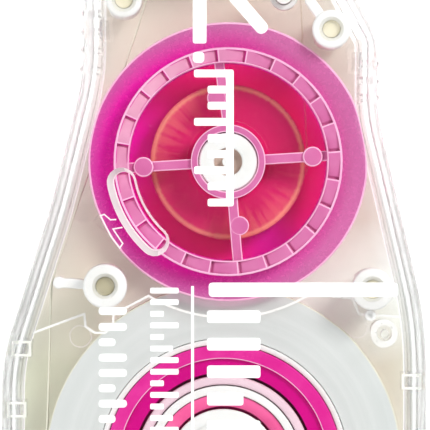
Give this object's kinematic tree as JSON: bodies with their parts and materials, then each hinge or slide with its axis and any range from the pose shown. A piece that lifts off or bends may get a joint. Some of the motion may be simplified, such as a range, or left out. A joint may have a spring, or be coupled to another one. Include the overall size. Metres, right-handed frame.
{
  "type": "correction tape roller",
  "caption": "Clear-cased correction tape roller with a slip-clutch supply reel, geared take-up reel, slack window, tip roller and pull-off cap.",
  "frame": {"origin": "on the supply reel axis, in the plane of the flat rear face", "axes": "+Z out of the front cover, +Y from the supply reel towards the tip, +X to the right when the front is seen with the tip up"},
  "size_m": [0.0375, 0.088, 0.012],
  "materials": {
    "clear_shell": "clear polystyrene, polished",
    "milky_plastic": "natural milky plastic, semi-gloss",
    "white_plastic": "white acetal, satin",
    "magenta_plastic": "translucent magenta plastic, glossy",
    "coated_tape": "white correction film wound on edge",
    "bare_liner": "thin amber release liner",
    "pale_rubber": "pale silicone rubber, matte",
    "steel_pin": "ground steel pin"
  },
  "bodies": {
    "case": {"rear_cover": "clear_shell", "front_cover": "clear_shell", "chassis_plate": "milky_plastic", "supply_axle": "white_plastic", "supply_retainer": "milky_plastic", "idler_axle": "white_plastic", "takeup_axle": "white_plastic", "takeup_axle_pin": "clear_shell", "head_frame": "milky_plastic", "tip_roller_pin": "steel_pin", "coated_tape": "coated_tape", "return_liner": "bare_liner"},
    "drive": {"supply_gear": "magenta_plastic", "clutch_sleeve": "white_plastic"},
    "spool": {"supply_hub": "magenta_plastic", "clutch_o_ring": "pale_rubber", "supply_core": "white_plastic", "correction_tape_roll": "coated_tape"},
    "idler": {"idler_gear": "magenta_plastic"},
    "takeup": {"takeup_gear": "magenta_plastic", "takeup_reel": "magenta_plastic", "takeup_liner_roll": "bare_liner"},
    "guide": {"guide_roller": "white_plastic"},
    "tip": {"tip_roller": "pale_rubber"},
    "backstop": {"backstop_pawl": "clear_shell"},
    "cap": {"cap": "clear_shell"}
  },
  "joints": [
    {"name": "supply_gear_spin", "type": "hinge", "parent": "case", "child": "drive", "pos_m": [0, 0, 0.0023], "axis": [0, 0, -1], "continuous": true},
    {"name": "supply_slip", "type": "hinge", "parent": "drive", "child": "spool", "pos_m": [0, 0, 0.0055], "axis": [0, 0, -1], "continuous": true},
    {"name": "idler_spin", "type": "hinge", "parent": "case", "child": "idler", "pos_m": [0.00025, 0.01688, 0.0023], "axis": [0, 0, -1], "continuous": true},
    {"name": "takeup_spin", "type": "hinge", "parent": "case", "child": "takeup", "pos_m": [0.0004, 0.0267, 0.0082], "axis": [0, 0, -1], "continuous": true},
    {"name": "guide_roller_spin", "type": "hinge", "parent": "case", "child": "guide", "pos_m": [0.0053, 0.0414, 0.00555], "axis": [0, 0, -1], "continuous": true},
    {"name": "tip_roller_spin", "type": "hinge", "parent": "case", "child": "tip", "pos_m": [0.0003, 0.0642, 0.00555], "axis": [0, 0, -1], "continuous": true},
    {"name": "backstop_flex", "type": "hinge", "parent": "case", "child": "backstop", "pos_m": [-0.0124, 0.0224, 0.0023], "axis": [0, 0, 1], "range_deg": [-7, 0], "stiffness_Nm_per_rad": 0.002},
    {"name": "cap_slide", "type": "slide", "parent": "case", "child": "cap", "axis": [0, 1, 0], "range_m": [0, 0.03]}
  ],
  "couplings": [
    {"joint": "idler_spin", "follows": "supply_gear_spin", "ratio": -2.5263},
    {"joint": "takeup_spin", "follows": "supply_gear_spin", "ratio": 2.4},
    {"joint": "guide_roller_spin", "follows": "supply_gear_spin", "ratio": 12.64},
    {"joint": "tip_roller_spin", "follows": "supply_gear_spin", "ratio": 11.286}
  ]
}
